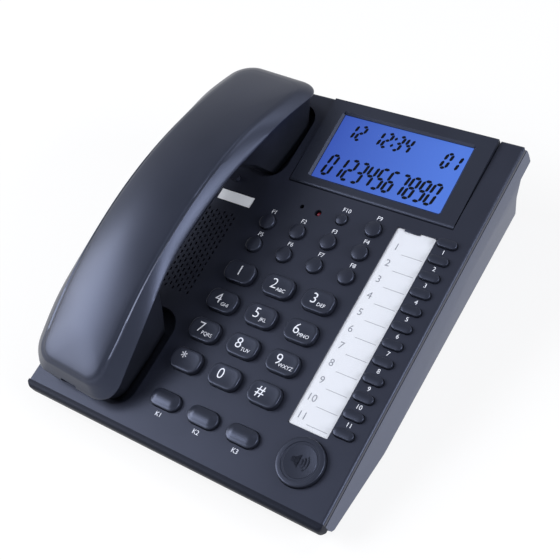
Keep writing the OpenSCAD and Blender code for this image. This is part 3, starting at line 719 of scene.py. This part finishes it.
@dataclass
class Handset:
    """The arched handset: a back shell lofted through rings, and the front shell under it.

    The outlines follow the CAD model, drawn wider and with a domed top as photographed. They are in mm along
    the handset's own axes: x across it, v along it.
    """

    front: float = 103.5
    rear: float = 109.3
    mouth_w: float = 62.0
    ear_w: float = 57.0
    grip_w: float = 53.4
    top_w: float = 42.0
    top_h: float = 41.0
    top_r: float = 215.0
    top_v: float = 3.0
    edge_h: float = 31.8
    edge_r: float = 223.0
    mid_v: float = 5.5
    end_h: float = 7.0
    ear_rise: float = 2.2
    crease_out: float = 1.6
    crease_drop: float = 2.4
    wall: float = 2.2
    crease_front: float = 4.5
    crease_rear: float = 5.0
    rim_h: float = 0.8
    crown: float = 0.9
    bulge: float = 1.6
    rear_bulge: float = 6.0
    ceiling_gap: float = 2.0
    fit_gap: float = 1.5
    rim_round: float = 0.25
    edge_corners: Pair = (14.0, 12.0)
    crease_corners: Pair = (8.0, 9.0)
    blends: tuple[float, ...] = (0.15, 0.3, 0.45, 0.6, 0.75, 0.88)
    groove: tuple[Pair, ...] = (
        (0.0, 0.9), (0.3, 0.7), (0.6, 0.7), (0.9, 0.35), (1.5, 0.12), (2.6, 0.0))
    dome_steps: int = 6
    ceiling_in: float = 16.0
    ceiling_corners: Pair = (6.0, 7.0)
    skirt_corners: Pair = (8.0, 7.0)
    ear_span: Pair = (45.0, 80.0)
    grip_span: Pair = (20.0, 80.0)
    swell_in: Pair = (-110.0, -70.0)
    swell_out: Pair = (-30.0, 70.0)
    swell_fade: float = 0.9
    groove_span: Pair = (10.0, 85.0)
    groove_fade: float = 0.8
    mic_v: float = 78.0
    mouth_v: Pair = (1.3, 4.0)
    mouth_h: float = 2.0
    notch_half: float = 5.7
    notch_h: float = 1.4
    notch_back: float = 0.62
    notch_side: float = 0.97
    notch_over: float = 0.4
    least: float = 0.01
    side_steps: int = 72
    corner_steps: int = 12

    def place(self) -> Matrix:
        """Gives the transform from the handset's axes to the frame by two CAD nodes on its middle line."""
        mic = FACE.middle("handset_microphone")
        along = (FACE.middle("receiver_capsule") - mic).normalized()
        origin = mic + along * self.mic_v
        turn = Matrix(((along.y, along.x, 0.0, origin.x), (-along.x, along.y, 0.0, origin.y),
                       (0.0, 0.0, 1.0, 0.0), (0.0, 0.0, 0.0, 1.0)))
        return FACE.matrix() @ turn

    def edge_height(self, v: float) -> float:
        """Height of the parting edge."""
        arch = self.edge_h - (v - self.mid_v) ** 2 / (2 * self.edge_r)
        return max(self.end_h, arch + self.ear_rise * ease(v, *self.ear_span))

    def top_height(self, v: float) -> float:
        """Height of the top face."""
        return self.top_h - (v - self.top_v) ** 2 / (2 * self.top_r)

    def edge_half(self, v: float) -> float:
        """Half the width at the parting edge."""
        end_w = self.mouth_w if v < self.mid_v else self.ear_w
        return (self.grip_w + (end_w - self.grip_w) * ease(abs(v - self.mid_v), *self.grip_span)) / 2

    def swell(self, v: float) -> float:
        """Share of the top's doming: little at the mouth end, full over the grip, little at the ear end."""
        return ease(v, *self.swell_in) * (1 - self.swell_fade * ease(v, *self.swell_out))

    def crease_half(self, v: float) -> float:
        """Half the width at the crease round the top face."""
        return self.top_w / 2 + self.crease_out * self.swell(v)

    def crease_height(self, v: float) -> float:
        """Height of that crease."""
        return self.top_height(v) - self.crease_drop * self.swell(v)

    def dome(self, share: float, groove: float) -> Curve:
        """Gives the height of the domed top face.

        Args:
            share: Place across it, from 0 at its middle to 1 at the crease.
            groove: Depth of the crease there, which fades out towards the ear end.

        Returns:
            Height at a place along v.
        """
        def height(v: float) -> float:
            """Height there."""
            fall = (self.crease_drop * self.swell(v) + self.crown) * share * share
            depth = groove * (1 - self.groove_fade * ease(v, *self.groove_span))
            return self.top_height(v) + self.crown - fall - depth
        return height

    def ring(self, ends: Pair, half: Curve, shrink: float, corners: Pair, height: Curve, lift: float,
             notch: float = 0.0) -> list[Point]:
        """Lays a closed ring round the handset.

        Args:
            ends: Front and rear ends along v.
            half: Half width at a place along v.
            shrink: Taken off the half width.
            corners: Corner radii at the front and the rear.
            height: Height at a place along v.
            lift: Added to the height.
            notch: Added to it over the jack at the middle of the front end.

        Returns:
            The ring's points, the right half first.
        """
        def wide(v: float) -> float:
            """Half width there, drawn in."""
            return max(half(v) - shrink, self.least)

        v0, v1 = ends
        r0 = min(corners[0], wide(v0 + corners[0]))
        r1 = min(corners[1], wide(v1 - corners[1]))
        x0, x1 = wide(v0 + r0) - r0, wide(v1 - r1) - r1
        arc = [math.pi / 2 * i / self.corner_steps for i in range(self.corner_steps + 1)]
        jack = min(self.notch_half, x0 / 2)
        outline = [(jack * self.notch_side, v0 + notch * self.notch_back), (jack, v0)]
        outline += [(x0 + r0 * math.sin(a), v0 + r0 - r0 * math.cos(a)) for a in arc]
        for i in range(1, self.side_steps):
            v = v0 + r0 + (v1 - r1 - v0 - r0) * i / self.side_steps
            outline.append((wide(v), v))
        outline += [(x1 + r1 * math.cos(a), v1 - r1 + r1 * math.sin(a)) for a in arc]
        lifts = [lift + notch] + [lift] * (len(outline) - 1)
        right = [(x, v, height(v) + up) for (x, v), up in zip(outline, lifts)]
        left = [(-x, v, n) for x, v, n in reversed(right)]
        return right + left

    def back_rings(self) -> list[list[Point]]:
        """Gives the back shell's rings, from the inside round the rim and up to the top's middle."""
        f, r = -self.front, self.rear
        edge, cut, outer = self.edge_height, self.notch_h, self.edge_corners
        inner = (f + self.crease_front + self.wall, r - self.crease_rear - self.wall)
        under = -self.wall - self.ceiling_gap
        bare, rim = self.rim_round, self.rim_h
        middle = (inner[0] + self.ceiling_in, inner[1] - self.ceiling_in)
        skirt = (f + self.wall, r - self.wall)
        rings = [
            self.ring(middle, lambda v: 0.0, 0.0, (1.0, 1.0), self.top_height, under),
            self.ring(inner, self.crease_half, -under, self.ceiling_corners, self.top_height, under),
            self.ring(skirt, self.edge_half, self.wall + self.fit_gap, self.skirt_corners, edge, 0.0, cut),
            self.ring((f + bare, r - bare), self.edge_half, bare, outer, edge, 0.0, cut),
            self.ring((f, r), self.edge_half, 0.0, outer, edge, bare, cut),
            self.ring((f, r), self.edge_half, 0.0, outer, edge, rim, cut - rim + self.notch_over)]
        for share in self.blends:
            bulge = self.rear_bulge * share * (1 - share)
            ends = (f + self.crease_front * share, r - self.crease_rear * share + bulge)
            front, rear = (a + (b - a) * share for a, b in zip(outer, self.crease_corners))
            swollen = self.bulge * share * (1 - share)
            rings.append(self.ring(
                ends, lambda v: self.edge_half(v) * (1 - share) + self.crease_half(v) * share + swollen, 0.0,
                (front, rear), lambda v: self.edge_height(v) * (1 - share) + self.crease_height(v) * share,
                rim * (1 - share)))
        half_w = self.top_w / 2
        flat = self.groove[-1][0]
        steps = [(flat + (half_w - flat) * k / self.dome_steps, 0.0) for k in range(1, self.dome_steps + 1)]
        for inset, groove in [*self.groove, *steps]:
            share = 1 - inset / half_w
            ends = (f + self.crease_front + inset, r - self.crease_rear - 2 * inset)
            rings.append(self.ring(ends, lambda v: self.crease_half(v) * share, 0.0, self.crease_corners,
                                   self.dome(share, groove), 0.0))
        return rings

    def build(self) -> None:
        """Makes the back shell and dresses the rest of the handset."""
        bm = bmesh.new()
        loft(bm, self.back_rings())
        bmesh.ops.remove_doubles(bm, verts=bm.verts, dist=0.05)
        bmesh.ops.recalc_face_normals(bm, faces=bm.faces)
        add_piece(bm, "handset_back_shell_form", Finish.HANDSET, HANDSET,
                  ("handset_back_shell",), self.place(), crease=40.0)
        low = self.edge_height(-self.front)
        bm = bmesh.new()
        add_box(bm, (-self.notch_half, self.mouth_v[0] - self.front, low - self.mouth_h),
                (self.notch_half, self.mouth_v[1] - self.front, low + self.mouth_h), edge=0.1)
        add_piece(bm, "handset_jack_mouth", Finish.JACK, HANDSET, (), self.place())
        smooth_copy("handset_front_shell", Finish.HANDSET_INNER, HANDSET)
        dress(Finish.SPEAKER, "receiver_capsule", "handset_microphone")
        dress(Finish.JACK, "handset_jack")


@dataclass(frozen=True)
class KeyRow:
    """Keys of one kind and the marks beside them.

    Attributes:
        nodes: Pattern of the CAD nodes' names.
        count: Number of keys.
        corner: Corner radius in plan.
        rim: Radius along the top's rim.
        crown: How far the middle of the top stands over its rim.
        mark: Pattern of the marks.
        gap: Space from a key to the middle of its mark, negative where the mark stands below.
        first: First key that has a mark.
    """

    nodes: str
    count: int
    corner: float
    rim: float
    crown: float
    mark: str
    gap: float
    first: int = 1


@dataclass
class KeyField:
    """All keys, their lettering and the marks printed beside them on the face."""

    dial: tuple[tuple[str, str, str], ...] = (
        ("1", "1", ""), ("2", "2", "ABC"), ("3", "3", "DEF"), ("4", "4", "GHI"), ("5", "5", "JKL"),
        ("6", "6", "MNO"), ("7", "7", "PQRS"), ("8", "8", "TUV"), ("9", "9", "WXYZ"), ("star", "*", ""),
        ("0", "0", ""), ("hash", "#", ""))
    digit_h: float = 5.8
    digit_aside: float = 2.4
    digit_up: float = 0.4
    digit_trim: float = 0.07
    letter_at: Pair = (2.9, -2.0)
    letter_h: float = 2.0
    mark_h: float = 2.4
    ink: float = 0.05
    cone: tuple[Pair, ...] = (
        (-4.6, -1.3), (-3.0, -1.3), (-0.6, -3.4), (-0.6, 3.4), (-3.0, 1.3), (-4.6, 1.3))
    wave_u: float = -1.2
    wave_turns: tuple[int, ...] = (-42, -30, -18, -6, 6, 18, 30, 42)
    wave_r: tuple[float, ...] = (2.6, 4.2, 5.8)
    wave_w: float = 0.6
    sign_h: float = 0.25
    rows: tuple[KeyRow, ...] = (
        KeyRow("round_key_%d", 10, 6.0, 0.8, 0.45, "F%d", 1.6),
        KeyRow("oval_key_%d", 3, 4.8, 0.9, 1.1, "K%d", -2.2),
        KeyRow("memory_key_%d", 12, 2.3, 0.5, 0.25, "%d", 1.7, 2))

    def build(self) -> None:
        """Makes every key and its marks."""
        for name, digit, letters in self.dial:
            node = "dial_key_" + name
            surface = KeyCap(node, corner=4.8, rim=0.8, crown=-0.3).build()
            self.dial_print(node, digit, letters, surface)
        for row in self.rows:
            for i in range(1, row.count + 1):
                KeyCap(row.nodes % i, row.corner, row.rim, row.crown).build()
        self.hands_free_sign(HandsFreeKey("hands_free_key", corner=12.4, rim=0.8, crown=-0.5).build())
        self.face_print()

    def hands_free_sign(self, surface: BVHTree) -> None:
        """Raises a plain loudspeaker sign, a cone and three sound waves, from the large key's dish.

        Args:
            surface: The key's surface.
        """
        u, v = FACE.middle("hands_free_key")
        outlines = [list(self.cone)]
        arc = [math.radians(a) for a in self.wave_turns]
        for r in self.wave_r:
            turns = [(r, a) for a in arc] + [(r - self.wave_w, a) for a in reversed(arc)]
            outlines.append([(self.wave_u + reach * math.cos(a), reach * math.sin(a)) for reach, a in turns])
        bm = bmesh.new()
        for outline in outlines:
            bm.faces.new([bm.verts.new((u + x, v + y, self.sign_h)) for x, y in outline])
        bmesh.ops.solidify(bm, geom=bm.faces[:], thickness=self.sign_h + 0.1)
        bmesh.ops.recalc_face_normals(bm, faces=bm.faces)
        drape(bm, surface)
        add_piece(bm, "hands_free_sign", Finish.KEY, "hands_free_key")

    def dial_print(self, node: str, digit: str, letters: str, surface: BVHTree) -> None:
        """Prints a dial key: its digit and, to the right of it, its letters.

        Args:
            node: CAD node of the key.
            digit: The digit or sign.
            letters: The letters, or none.
            surface: The key's surface.
        """
        u, v = FACE.middle(node)
        aside = 0.0 if digit == "1" else self.digit_aside
        trim = self.digit_trim if digit.isdigit() else 0.0
        labels = [Label(digit, (u - aside, v + self.digit_up, 0.0), self.digit_h, trim)]
        if letters:
            labels.append(Label(letters, (u + self.letter_at[0], v + self.letter_at[1], 0.0), self.letter_h))
        bm = lettering(labels, self.ink)
        drape(bm, surface)
        add_piece(bm, node + "_print", Finish.INK, node)

    def face_print(self) -> None:
        """Prints plain numbers beside the memory keys and plain signs beside the other keys."""
        labels = []
        for row in self.rows:
            for i in range(row.first, row.count + 1):
                low, high = FACE.box(row.nodes % i)
                v = (high.y if row.gap > 0 else low.y) + row.gap
                text = row.mark % (i - row.first + 1)
                labels.append(Label(text, ((low.x + high.x) / 2, v, 0.0), self.mark_h))
        add_piece(lettering(labels, self.ink), "face_print", Finish.INK, BASE)


class Segment(Enum):
    """The seven bars of a digit from A, the top one, clockwise to F, and G across the middle.

    Each is its middle and whether it stands upright.
    """

    A = (0.0, 1.0, False)
    B = (1.0, 0.5, True)
    C = (1.0, -0.5, True)
    D = (0.0, -1.0, False)
    E = (-1.0, -0.5, True)
    F = (-1.0, 0.5, True)
    G = (0.0, 0.0, False)


BARS = {"0": "ABCDEF", "1": "BC", "2": "ABGED", "3": "ABGCD", "4": "FGBC", "5": "AFGCD", "6": "AFGECD",
        "7": "ABC", "8": "ABCDEFG", "9": "ABFGCD"}


@dataclass
class DisplayUnit:
    """The tilting display: bezel, window, lit panel and its generic digits."""

    panel_drop: float = 0.25
    digit: Pair = (3.9, 12.8)
    small: Pair = (3.1, 9.0)
    digit_gap: float = 2.5
    colon_share: float = 0.55
    dot_share: float = 1.6
    bar: float = 1.75
    bar_gap: float = 0.18
    bar_h: float = 0.04
    bar_up: float = 0.06
    lean: float = 0.16
    long_at: Pair = (9.5, 12.0)
    short_at: Pair = (11.5, 9.5)
    count_at: Pair = (14.5, 12.0)
    long_row: str = "01234567890"
    short_row: str = "12 12:34"
    count_row: str = "01"

    def add_bar(self, bm: BMesh, at: Vector, length: float, upright: bool, middle: Vector) -> None:
        """Adds one pointed bar of a digit.

        Args:
            bm: Mesh that takes the bar.
            at: The bar's middle.
            length: Its length.
            upright: Whether it stands upright.
            middle: The digit's middle, about which it leans.
        """
        half, w = length / 2 - self.bar_gap, self.bar / 2
        outline = [(-half, 0), (-half + w, -w), (half - w, -w), (half, 0), (half - w, w), (-half + w, w)]
        if upright:
            outline = [(-y, x) for x, y in outline]
        verts = []
        for x, y in outline:
            py = at.y + y
            verts.append(bm.verts.new((at.x + x + self.lean * (py - middle.y), py, at.z)))
        bm.faces.new(verts)

    def add_row(self, bm: BMesh, text: str, start: Point, size: Pair) -> None:
        """Adds a row of digits.

        Args:
            bm: Mesh that takes the row.
            text: Digits, blanks and colons.
            start: Middle of the first digit.
            size: Width of a digit between its upright bars and height between its level ones.
        """
        w, h = size
        place = Vector(start)
        for one in text:
            if one == ":":
                for side in (-1, 1):
                    dot = place + Vector((-w * 0.5 + self.lean * side * h / 4, side * h / 4, 0.0))
                    self.add_bar(bm, dot, self.bar * self.dot_share, True, dot)
                place.x += w * self.colon_share
                continue
            for name in BARS.get(one, ""):
                x, y, upright = Segment[name].value
                at = place + Vector((x * w / 2, y * h / 2, 0.0))
                self.add_bar(bm, at, h / 2 if upright else w, upright, place)
            place.x += w + self.digit_gap

    def build(self) -> None:
        """Makes the panel and its digits and dresses the rest of the unit."""
        normals = [p.normal for p in frame["nodes"]["lcd_panel"].data.polygons]
        plane = Plane(max(normals, key=FACE.normal.dot).copy())
        to_frame = plane.matrix()
        low, high = plane.box("lcd_panel")
        bm = bmesh.new()
        add_box(bm, tuple(low), (high.x, high.y, high.z - self.panel_drop), edge=0.2)
        add_piece(bm, "lcd_panel_lit", Finish.PANEL, DISPLAY, ("lcd_panel",), to_frame)
        level = high.z - self.panel_drop + self.bar_up
        bm = bmesh.new()
        for text, u, v, size in (
                (self.long_row, low.x + self.long_at[0], low.y + self.long_at[1], self.digit),
                (self.short_row, low.x + self.short_at[0], high.y - self.short_at[1], self.small),
                (self.count_row, high.x - self.count_at[0], high.y - self.count_at[1], self.small)):
            self.add_row(bm, text, (u, v, level), size)
        bmesh.ops.solidify(bm, geom=bm.faces[:], thickness=self.bar_h)
        bmesh.ops.recalc_face_normals(bm, faces=bm.faces)
        add_piece(bm, "lcd_segments", Finish.SEGMENT, DISPLAY, (), to_frame)
        dress(Finish.BEZEL, "display_bezel")
        dress(Finish.CASE, "display_back_cover")
        dress(Finish.WINDOW, "display_window")


@dataclass
class Base:
    """The base: covers, card, label, lamp and what lies inside."""

    line_count: int = 11
    line_w: float = 0.25
    line_ends: Pair = (9.0, 1.5)
    line_drop: float = 0.28
    number_at: Pair = (4.6, 0.6)
    number_h: float = 3.9
    print_h: float = 0.03
    card_drop: float = 0.12
    card_corner: float = 1.2
    tab_v: Pair = (1.1, 0.4)
    tab_span: Pair = (0.19, 0.59)
    tab_up: float = 0.05
    lip_out: float = 2.6
    lip_in: float = 1.4
    lip_h: float = 7.5
    lip_steps: int = 6
    lip_up: float = 0.02
    lip_toe: float = 1.0
    lip_tuck: float = 0.6
    screw_at: tuple[Pair, ...] = ((62.0, -92.0), (-62.0, -92.0), (50.0, 98.0), (-50.0, 98.0))
    screw_r: float = 3.2
    screw_h: float = 1.0
    screw_round: float = 0.3
    screw_taper: float = 0.8

    def build(self) -> None:
        """Dresses the covers and makes the card, its print and the case screws."""
        dress(Finish.FACE, "top_cover")
        smooth_copy("bottom_cover", Finish.CASE, BASE)
        self.front_lip()
        dress(Finish.LABEL, "name_label")
        dress(Finish.LENS, "in_use_lamp")
        dress(Finish.LAMINATE, "main_board")
        dress(Finish.SILICONE, "keypad_mat")
        dress(Finish.SPEAKER, "loudspeaker")
        dress(Finish.KEY, "hook_plunger")
        dress(Finish.JACK, "hook_switch", "modular_jacks")
        dress(Finish.RUBBER, "rubber_feet")
        self.card()
        self.screws()

    def front_lip(self) -> None:
        """Rolls the face's front edge forward and down, as the photograph shows it."""
        low, high = FACE.box("top_cover")
        turns = [math.pi / 2 * k / self.lip_steps for k in range(self.lip_steps + 1)]
        ends = [(self.lip_out * (1 - math.cos(a)), self.lip_out * math.sin(a)) for a in turns]
        stations = [(low.x + inset, out) for inset, out in ends]
        stations += [(high.x - inset, out) for inset, out in reversed(ends)]
        rings = []
        for u, out in stations:
            rolled = [(u, low.y - out * math.sin(a), self.lip_up - self.lip_out * (1 - math.cos(a)))
                      for a in turns]
            under = [(u, low.y - out, self.lip_toe - self.lip_h),
                     (u, low.y - out * self.lip_tuck, -self.lip_h)]
            back = [(u, low.y + self.lip_in, -self.lip_h), (u, low.y + self.lip_in, self.lip_up)]
            rings.append(rolled + under + back)
        bm = bmesh.new()
        loops = loft(bm, rings)
        bmesh.ops.holes_fill(bm, edges=loops[0] + loops[-1])
        bmesh.ops.recalc_face_normals(bm, faces=bm.faces)
        # The lip's finish carries painted shade: darker and less glossy than the face it belongs to.
        add_piece(bm, "front_lip", Finish.SHADED_EDGE, BASE)

    def sheet(self, node: str, drop: float, finish: Finish) -> None:
        """Stands a plain sheet with rounded corners in place of a CAD node.

        Args:
            node: Name of the CAD node.
            drop: Taken off its top, in mm.
            finish: Its finish.
        """
        low, high = FACE.box(node)
        bm = bmesh.new()
        add_box(bm, tuple(low), (high.x, high.y, high.z - drop))
        round_edges(bm, standing_edges(bm), self.card_corner, 5)
        add_piece(bm, node + "_sheet", finish, BASE, (node,))

    def card(self) -> None:
        """Makes the index card with its thin lines and plain numbers."""
        low, high = FACE.box("memo_card")
        level = high.z - self.card_drop
        self.sheet("memo_card", self.card_drop, Finish.CARD)
        self.sheet("memo_card_cover", 0.0, Finish.COVER)
        left, right = (low.x + share * (high.x - low.x) for share in self.tab_span)
        bm = bmesh.new()
        add_box(bm, (left, high.y - self.tab_v[0], level), (right, high.y + self.tab_v[1], self.tab_up),
                edge=0.15)
        add_piece(bm, "memo_card_tab", Finish.FACE, BASE)
        pitch = FACE.box("memory_key_1")[0].y - FACE.box("memory_key_2")[0].y
        labels = []
        bm = bmesh.new()
        for i in range(self.line_count):
            middle = FACE.middle("memory_key_%d" % (i + 2)).y
            line_v = middle - pitch * self.line_drop
            if line_v > low.y + 1:
                add_box(bm, (low.x + self.line_ends[0], line_v, level),
                        (high.x - self.line_ends[1], line_v + self.line_w, level + self.print_h))
            at = (low.x + self.number_at[0], middle + self.number_at[1], level)
            labels.append(Label(str(i + 1), at, self.number_h))
        add_piece(bm, "memo_card_lines", Finish.GREY_INK, BASE)
        numbers = lettering(labels, self.print_h)
        add_piece(numbers, "memo_card_numbers", Finish.GREY_INK, BASE)

    def screws(self) -> None:
        """Makes the four case screws under the bottom cover, each with a rounded head."""
        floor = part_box("bottom_cover")[0].z / MM
        bm = bmesh.new()
        for x, y in self.screw_at:
            before = set(bm.verts)
            place = Matrix.Translation((x, y, floor - self.screw_h / 2)) @ Matrix.Rotation(math.pi, 4, "X")
            bmesh.ops.create_cone(bm, cap_ends=True, segments=32, radius1=self.screw_r,
                                  radius2=self.screw_r * self.screw_taper, depth=self.screw_h, matrix=place)
            low = floor - 0.9 * self.screw_h
            rim = [e for e in bm.edges if e.verts[0] not in before and all(v.co.z < low for v in e.verts)]
            round_edges(bm, rim, self.screw_round, 3)
        bmesh.ops.recalc_face_normals(bm, faces=bm.faces)
        add_piece(bm, "case_screws", Finish.STEEL, BASE, (), Matrix.Scale(MM, 4))


@dataclass
class Studio:
    """Camera, floor and soft lamps."""

    lens: float = 67.66
    sensor: float = 36.0
    near: float = 0.01
    centre_mm: Point = (286.86, -270.94, 433.90)
    right: Point = (0.81015, 0.54908, -0.20534)
    down: Point = (0.29800, -0.68739, -0.66234)
    forward: Point = (-0.50483, 0.47541, -0.72052)
    floor_half: float = 3.0
    zenith: float = 0.55
    sky_span: Pair = (0.2, 0.8)
    soft_light: str = "#d4d6da"
    soft_power: float = 0.35
    lamp_tint: str = "#fbfcff"

    def camera(self) -> None:
        """Makes the camera at the photograph's place."""
        data = bpy.data.cameras.new("camera")
        data.lens = self.lens
        data.sensor_width = self.sensor
        data.clip_start = self.near
        camera = put("camera", data)
        turn = Matrix((Vector(self.right), -Vector(self.down), -Vector(self.forward))).transposed()
        camera.matrix_world = Matrix.Translation(Vector(self.centre_mm) * MM) @ turn.to_4x4()
        bpy.context.scene.camera = camera

    def lamp(self, name: str, at: Point, aim: Point, size: Pair, power: float) -> None:
        """Adds a soft box.

        Args:
            name: Name of the lamp.
            at: Its place in metres.
            aim: Point that it faces.
            size: Width and height in metres.
            power: Power in watts.
        """
        data = bpy.data.lights.new(name, "AREA")
        data.shape = "RECTANGLE"
        data.size, data.size_y = size
        data.energy = power
        data.color = linear(self.lamp_tint)[:3]
        lamp = put(name, data)
        lamp.location = at
        lamp.rotation_euler = (Vector(aim) - Vector(at)).to_track_quat("-Z", "Y").to_euler()

    def floor(self) -> None:
        """Makes the pale floor."""
        bm = bmesh.new()
        bmesh.ops.create_grid(bm, x_segments=1, y_segments=1, size=self.floor_half)
        mesh = bpy.data.meshes.new("floor")
        bm.to_mesh(mesh)
        bm.free()
        mesh.materials.append(Backdrop("Paper backdrop, white", "#f6f7fa").build())
        put("floor", mesh)

    def world(self) -> None:
        """Sets the surroundings: white to the eye, darker overhead, and a soft grey to the light."""
        world = bpy.data.worlds.new("studio")
        bpy.context.scene.world = world
        world.use_nodes = True
        tree = world.node_tree
        tree.nodes.clear()
        soft = add_node(tree, "Background", {"Color": linear(self.soft_light), "Strength": self.soft_power})
        way = add_node(tree, "TexCoord").outputs["Generated"]
        up = add_node(tree, "SeparateXYZ", {}, {"Vector": way}).outputs["Z"]
        low, high = self.sky_span
        glow = add_node(tree, "MapRange", {
            "From Min": low, "From Max": high, "To Min": 1.0, "To Max": self.zenith}, {"Value": up})
        white = add_node(tree, "Background", {"Color": WHITE}, {"Strength": glow})
        mix = add_node(tree, "MixShader", {}, {"Fac": seen(tree, 1.0), 1: soft, 2: white})
        add_node(tree, "OutputWorld", {}, {"Surface": mix})

    def build(self) -> None:
        """Makes the studio."""
        bpy.context.scene.view_settings.view_transform = "Standard"
        self.camera()
        self.floor()
        self.world()
        self.lamp("front_left", (-1.03, -0.60, 0.82), (-0.05, -0.05, 0.05), (1.0, 0.8), 23.0)
        self.lamp("right", (1.20, 0.10, 0.50), (-0.02, 0.0, 0.06), (0.7, 0.5), 13.0)
        self.lamp("overhead_rear", (0.5, 0.9, 1.3), (0.0, 0.0, 0.0), (0.6, 0.6), 4.0)


def main() -> None:
    """Builds every sub-assembly in order."""
    logging.basicConfig(level=logging.INFO, format="%(message)s")
    Studio().build()
    Base().build()
    KeyField().build()
    DisplayUnit().build()
    Handset().build()


if __name__ == "__main__":
    main()
